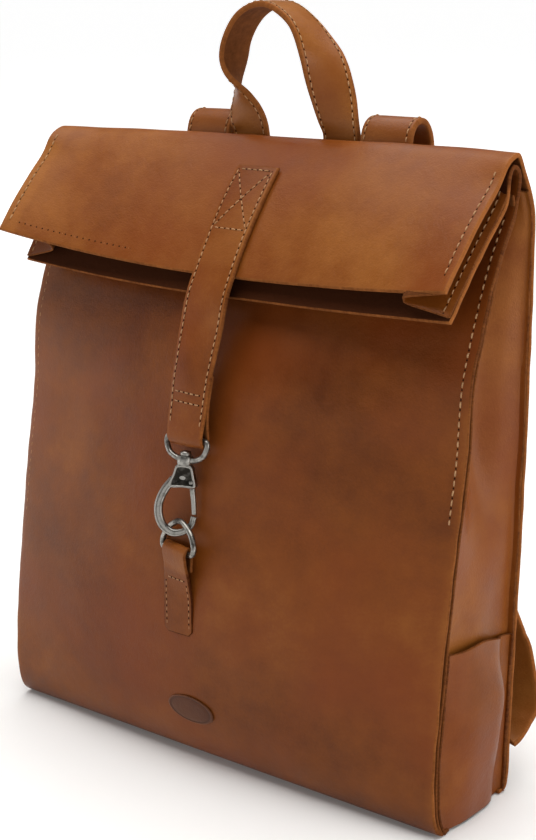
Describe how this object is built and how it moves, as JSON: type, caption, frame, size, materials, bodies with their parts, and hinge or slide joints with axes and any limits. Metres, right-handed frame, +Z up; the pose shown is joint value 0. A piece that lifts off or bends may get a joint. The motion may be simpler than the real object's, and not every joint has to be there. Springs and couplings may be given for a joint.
{
  "type": "leather backpack",
  "caption": "Roll-top leather backpack with gusseted sides, a folded top held by a strap with a swivel snap hook, a top handle and shoulder straps.",
  "frame": {"origin": "centre of the base's underside, between the side seams", "axes": "+X to the wearer's right, -Y the front with the hook, +Y the wearer's back, +Z up"},
  "size_m": [0.3252, 0.1552, 0.424],
  "materials": {
    "body_leather": "oiled semi-gloss",
    "flap_leather": "oiled semi-gloss, paler",
    "strap_leather": "oiled semi-gloss, stitched",
    "lining_leather": "rough flesh side",
    "badge_leather": "debossed, dark",
    "antique_silver": "antique silver, worn bright on the edges"
  },
  "bodies": {
    "bag": {"front_panel": "body_leather", "back_panel": "body_leather", "base_panel": "body_leather", "left_gusset": "body_leather", "right_gusset": "body_leather", "left_side_pocket": "body_leather", "right_side_pocket": "body_leather", "inner_pocket": "lining_leather", "ring_tab": "strap_leather", "oval_badge": "badge_leather", "left_handle_end": "strap_leather", "right_handle_end": "strap_leather", "left_strap_arch": "strap_leather", "right_strap_arch": "strap_leather", "left_lower_anchor": "strap_leather", "right_lower_anchor": "strap_leather"},
    "folded_top": {"flap": "flap_leather", "flap_lip": "body_leather", "left_flap_gusset": "body_leather", "right_flap_gusset": "body_leather", "closure_strap_sewn_end": "flap_leather"},
    "closure_strap": {"closure_strap": "flap_leather"},
    "swivel_eye": {"swivel_eye": "antique_silver"},
    "hook": {"hook_body": "antique_silver", "gate_pin": "antique_silver"},
    "gate": {"hook_gate": "antique_silver"},
    "d_ring": {"d_ring": "antique_silver"},
    "top_handle": {"top_handle": "strap_leather"},
    "left_shoulder_strap": {"left_shoulder_strap": "strap_leather", "left_lower_strap": "strap_leather", "left_buckle_frame": "antique_silver"},
    "left_prong": {"left_buckle_prong": "antique_silver"},
    "left_roller": {"left_buckle_roller": "antique_silver"},
    "left_keeper": {"left_strap_keeper": "strap_leather"},
    "right_shoulder_strap": {"right_shoulder_strap": "strap_leather", "right_lower_strap": "strap_leather", "right_buckle_frame": "antique_silver"},
    "right_prong": {"right_buckle_prong": "antique_silver"},
    "right_roller": {"right_buckle_roller": "antique_silver"},
    "right_keeper": {"right_strap_keeper": "strap_leather"}
  },
  "joints": [
    {"name": "flap_fold", "type": "hinge", "parent": "bag", "child": "folded_top", "pos_m": [0, 0.04, 0.3465], "axis": [-1, 0, 0], "range_deg": [0, 105]},
    {"name": "strap_swing", "type": "hinge", "parent": "folded_top", "child": "closure_strap", "pos_m": [0, -0.0248, 0.2798], "axis": [-1, 0, 0], "range_deg": [0, 120]},
    {"name": "eye_pivot", "type": "hinge", "parent": "closure_strap", "child": "swivel_eye", "pos_m": [0, -0.04281, 0.19398], "axis": [-1, 0, 0], "range_deg": [0, 60]},
    {"name": "hook_swivel", "type": "hinge", "parent": "swivel_eye", "child": "hook", "pos_m": [0, -0.043, 0.193], "axis": [0, 0.1908, 0.9816], "range_deg": [-3, 3]},
    {"name": "gate_hinge", "type": "hinge", "parent": "hook", "child": "gate", "pos_m": [0.00441, -0.04501, 0.17037], "axis": [-0.4695, 0.8667, -0.1685], "range_deg": [0, 22], "stiffness_Nm_per_rad": 0.02, "springref_deg": -11.46},
    {"name": "ring_swing", "type": "hinge", "parent": "bag", "child": "d_ring", "pos_m": [0, -0.05483, 0.13214], "axis": [0.9744, -0.2208, 0.0429], "range_deg": [0, 147]},
    {"name": "handle_fold", "type": "hinge", "parent": "bag", "child": "top_handle", "pos_m": [0, 0.0487, 0.3535], "axis": [-1, 0, 0], "range_deg": [0, 75]},
    {"name": "right_strap_swing", "type": "hinge", "parent": "bag", "child": "right_shoulder_strap", "pos_m": [0.0626, 0.069, 0.343], "axis": [-0.2604, 0.0349, 0.9649], "range_deg": [-25, 25]},
    {"name": "right_prong_hinge", "type": "hinge", "parent": "right_shoulder_strap", "child": "right_prong", "pos_m": [0.09771, 0.08177, 0.14605], "axis": [0.9341, 0.0472, 0.3538], "range_deg": [0, 14]},
    {"name": "right_roller_spin", "type": "hinge", "parent": "right_shoulder_strap", "child": "right_roller", "pos_m": [0.10628, 0.0788, 0.12383], "axis": [0.9341, 0.0472, 0.3538], "continuous": true},
    {"name": "right_keeper_slide", "type": "slide", "parent": "right_shoulder_strap", "child": "right_keeper", "axis": [-0.3134, 0.0886, 0.9455], "range_m": [-0.006, 0.008]},
    {"name": "left_strap_swing", "type": "hinge", "parent": "bag", "child": "left_shoulder_strap", "pos_m": [-0.0626, 0.069, 0.343], "axis": [-0.2604, -0.0349, -0.9649], "range_deg": [-25, 25]},
    {"name": "left_prong_hinge", "type": "hinge", "parent": "left_shoulder_strap", "child": "left_prong", "pos_m": [-0.09771, 0.08177, 0.14605], "axis": [0.9341, -0.0472, -0.3538], "range_deg": [0, 14]},
    {"name": "left_roller_spin", "type": "hinge", "parent": "left_shoulder_strap", "child": "left_roller", "pos_m": [-0.10628, 0.0788, 0.12383], "axis": [0.9341, -0.0472, -0.3538], "continuous": true},
    {"name": "left_keeper_slide", "type": "slide", "parent": "left_shoulder_strap", "child": "left_keeper", "axis": [0.3134, 0.0886, 0.9455], "range_m": [-0.006, 0.008]}
  ],
  "couplings": [
    {"joint": "ring_swing", "follows": "flap_fold", "ratio": 1.4}
  ]
}
